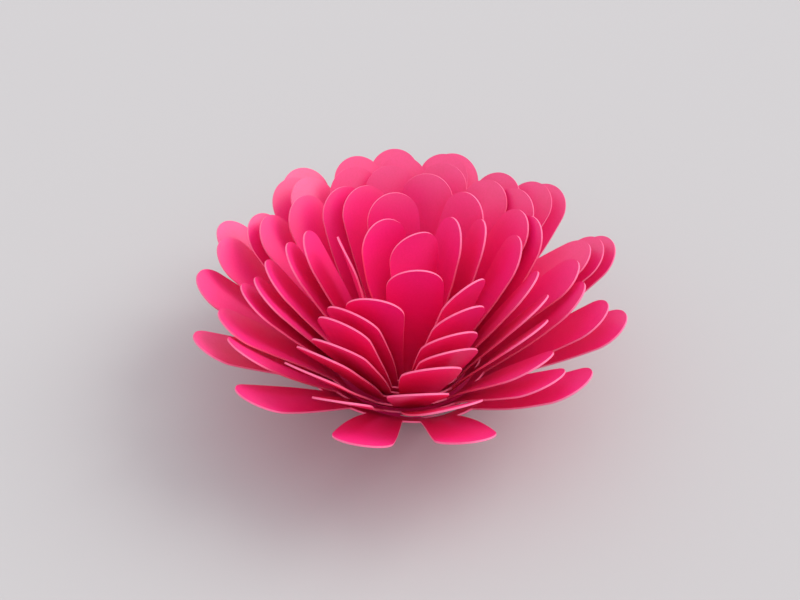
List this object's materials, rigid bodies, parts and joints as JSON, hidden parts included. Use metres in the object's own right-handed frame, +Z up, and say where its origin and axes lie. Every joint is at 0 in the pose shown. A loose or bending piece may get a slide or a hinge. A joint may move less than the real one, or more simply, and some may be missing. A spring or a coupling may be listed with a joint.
{
  "type": "rolled paper flower",
  "caption": "Flower rolled from one spiral strip of pink card with round-tipped petals, glued to the strip's own end disc, which it rests on.",
  "frame": {"origin": "centre of the underside of the end disc, which lies on the table", "axes": "+Z up out of the flower along the roll's axis, -Y towards the flower's front, +X to its right"},
  "size_m": [0.0715, 0.0746, 0.0311],
  "materials": {
    "pink_card": "smooth solid-dyed card, matt with a soft sheen",
    "hot_glue": "set hot glue, cloudy and shiny"
  },
  "bodies": {
    "root": {"petal_strip": "pink_card", "glue_pad": "hot_glue", "glue_bead": "hot_glue"}
  },
  "joints": []
}
